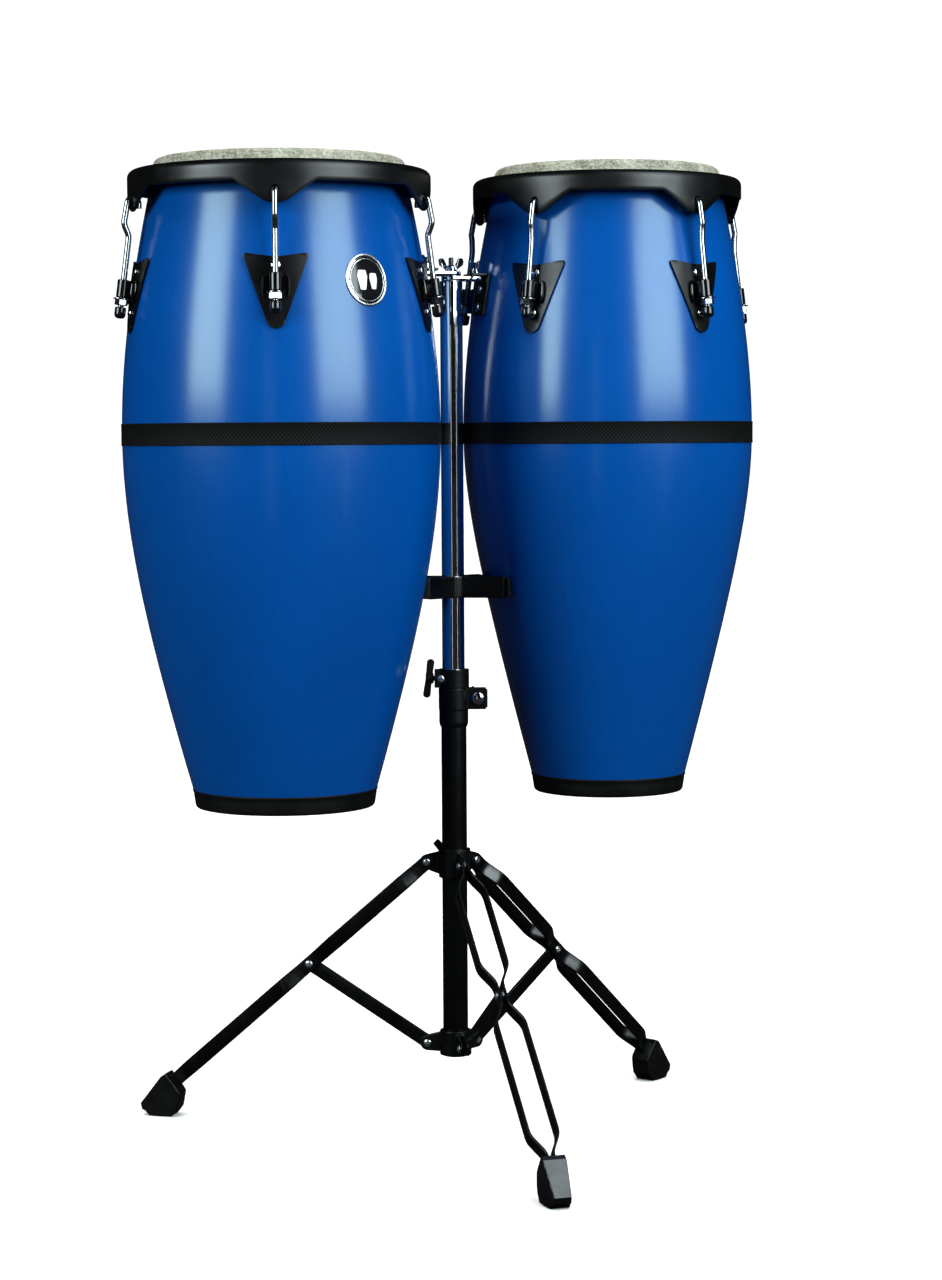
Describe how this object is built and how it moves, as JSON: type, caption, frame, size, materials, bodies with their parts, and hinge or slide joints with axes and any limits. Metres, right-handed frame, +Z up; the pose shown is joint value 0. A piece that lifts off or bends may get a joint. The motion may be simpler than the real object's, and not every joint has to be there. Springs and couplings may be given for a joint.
{
  "type": "conga drum pair on a double stand",
  "caption": "Pair of barrel-shaped hand drums with tunable rawhide heads, hung side by side on one height-adjustable folding tripod stand.",
  "frame": {"origin": "on the floor, at the middle of the whole object's bounding box seen from above", "axes": "+Z up, +X from the large drum to the small drum, -Y towards the side with the badge and the front leg"},
  "size_m": [0.753, 0.5904, 1.092],
  "materials": {
    "shell": "satin blue lacquer",
    "band": "black woven band",
    "rubber": "black moulded rubber",
    "rawhide": "speckled grey-beige rawhide",
    "hoop": "plain steel hoop",
    "rim": "satin black powder coat",
    "rod_chrome": "bright chrome",
    "cap": "black rubber cap",
    "lug_black": "satin black powder coat",
    "badge": "chrome ring with a black enamel centre",
    "tube_chrome": "bright chrome",
    "tube_black": "satin black powder coat",
    "cast_black": "satin black casting",
    "nylon": "natural nylon",
    "steel": "zinc-plated steel",
    "strip": "semi-gloss black powder coat"
  },
  "bodies": {
    "stand": {"lower_tube": "tube_black", "height_clamp": "cast_black", "tube_bushing": "nylon", "clamp_bolt": "steel", "lower_collar": "cast_black", "lower_collar_pins": "steel"},
    "clamp_nut": {"clamp_wing_nut": "cast_black"},
    "collar": {"upper_collar": "cast_black", "upper_collar_pins": "steel"},
    "collar_bolt": {"collar_wing_bolt": "cast_black"},
    "lock": {"memory_lock": "cast_black", "memory_lock_screw": "steel"},
    "lock_wing": {"memory_lock_wing": "cast_black"},
    "mast": {"upper_tube": "tube_chrome", "pole_head": "steel", "arm_plate_large": "tube_chrome", "arm_plate_small": "tube_chrome", "arm_studs": "steel", "cradle_band": "strip", "cradle_pads": "rubber"},
    "pole_nut": {"pole_wing_nut": "tube_chrome"},
    "nut_large": {"wing_nut_large": "tube_chrome"},
    "nut_small": {"wing_nut_small": "tube_chrome"},
    "leg_front": {"leg_front": "strip", "foot_front": "rubber", "leg_screws_front": "steel"},
    "brace_front": {"brace_front": "strip"},
    "leg_right": {"leg_right": "strip", "foot_right": "rubber", "leg_screws_right": "steel"},
    "brace_right": {"brace_right": "strip"},
    "leg_left": {"leg_left": "strip", "foot_left": "rubber", "leg_screws_left": "steel"},
    "brace_left": {"brace_left": "strip"},
    "drum_large": {"shell_large": "shell", "belly_band_large": "band", "bottom_ring_large": "rubber", "drum_head_large": "rawhide", "lugs_large": "lug_black", "shell_screws_large": "steel", "tuning_nuts_large": "rod_chrome", "stand_bracket_large": "lug_black", "badge": "badge"},
    "rim_large": {"rim_large": "rim", "flesh_hoop_large": "hoop", "hook_rods_large": "rod_chrome", "rod_caps_large": "cap"},
    "drum_small": {"shell_small": "shell", "belly_band_small": "band", "bottom_ring_small": "rubber", "drum_head_small": "rawhide", "lugs_small": "lug_black", "shell_screws_small": "steel", "tuning_nuts_small": "rod_chrome", "stand_bracket_small": "lug_black"},
    "rim_small": {"rim_small": "rim", "flesh_hoop_small": "hoop", "hook_rods_small": "rod_chrome", "rod_caps_small": "cap"}
  },
  "joints": [
    {"name": "clamp_nut_turn", "type": "hinge", "parent": "stand", "child": "clamp_nut", "pos_m": [0.03838, 0.08019, 0.4935], "axis": [0.342, 0.9397, 0], "continuous": true},
    {"name": "collar_slide", "type": "slide", "parent": "stand", "child": "collar", "axis": [0, 0, 1], "range_m": [0, 0.137]},
    {"name": "collar_bolt_turn", "type": "hinge", "parent": "collar", "child": "collar_bolt", "pos_m": [0.00776, 0.10401, 0.314], "axis": [-0.0872, 0.9962, 0], "continuous": true},
    {"name": "leg_front_fold", "type": "hinge", "parent": "collar", "child": "leg_front", "pos_m": [0.00802, 0.04984, 0.306], "axis": [0.9986, -0.0523, 0], "range_deg": [0, 40]},
    {"name": "brace_front_fold", "type": "hinge", "parent": "stand", "child": "brace_front", "pos_m": [0.00802, 0.04984, 0.098], "axis": [-0.9986, 0.0523, 0], "range_deg": [0, 48.4]},
    {"name": "leg_right_fold", "type": "hinge", "parent": "collar", "child": "leg_right", "pos_m": [0.03821, 0.09633, 0.306], "axis": [-0.454, 0.891, 0], "range_deg": [0, 40]},
    {"name": "brace_right_fold", "type": "hinge", "parent": "stand", "child": "brace_right", "pos_m": [0.03821, 0.09633, 0.098], "axis": [0.454, -0.891, 0], "range_deg": [0, 48.4]},
    {"name": "leg_left_fold", "type": "hinge", "parent": "collar", "child": "leg_left", "pos_m": [-0.01714, 0.09923, 0.306], "axis": [-0.5446, -0.8387, 0], "range_deg": [0, 40]},
    {"name": "brace_left_fold", "type": "hinge", "parent": "stand", "child": "brace_left", "pos_m": [-0.01714, 0.09923, 0.098], "axis": [0.5446, 0.8387, 0], "range_deg": [0, 48.4]},
    {"name": "lock_slide", "type": "slide", "parent": "stand", "child": "lock", "axis": [0, 0, 1], "range_m": [0, 0.15]},
    {"name": "lock_wing_turn", "type": "hinge", "parent": "lock", "child": "lock_wing", "pos_m": [-0.01078, 0.08926, 0.5159], "axis": [-0.9397, 0.342, 0], "continuous": true},
    {"name": "mast_turn", "type": "hinge", "parent": "lock", "child": "mast", "pos_m": [0.0097, 0.0818, 0.7], "axis": [0, 0, 1], "continuous": true},
    {"name": "pole_nut_turn", "type": "hinge", "parent": "mast", "child": "pole_nut", "pos_m": [0.0097, 0.0818, 0.978], "axis": [0, 0, 1], "continuous": true},
    {"name": "nut_large_turn", "type": "hinge", "parent": "mast", "child": "nut_large", "pos_m": [-0.0193, 0.0818, 0.98], "axis": [0, 0, 1], "continuous": true},
    {"name": "nut_small_turn", "type": "hinge", "parent": "mast", "child": "nut_small", "pos_m": [0.0387, 0.0818, 0.975], "axis": [0, 0, 1], "continuous": true},
    {"name": "drum_large_unhook", "type": "slide", "parent": "mast", "child": "drum_large", "axis": [-1, 0, 0], "range_m": [0, 0.05]},
    {"name": "drum_small_unhook", "type": "slide", "parent": "mast", "child": "drum_small", "axis": [1, 0, 0], "range_m": [0, 0.05]},
    {"name": "rim_large_tune", "type": "slide", "parent": "drum_large", "child": "rim_large", "axis": [0, 0, -1], "range_m": [0, 0.003]},
    {"name": "rim_small_tune", "type": "slide", "parent": "drum_small", "child": "rim_small", "axis": [0, 0, -1], "range_m": [0, 0.003]}
  ],
  "couplings": [
    {"joint": "leg_front_fold", "follows": "collar_slide", "rad_per_m": 5.0719},
    {"joint": "brace_front_fold", "follows": "collar_slide", "rad_per_m": 6.1304},
    {"joint": "leg_right_fold", "follows": "collar_slide", "rad_per_m": 5.0719},
    {"joint": "brace_right_fold", "follows": "collar_slide", "rad_per_m": 6.1304},
    {"joint": "leg_left_fold", "follows": "collar_slide", "rad_per_m": 5.0719},
    {"joint": "brace_left_fold", "follows": "collar_slide", "rad_per_m": 6.1304}
  ]
}
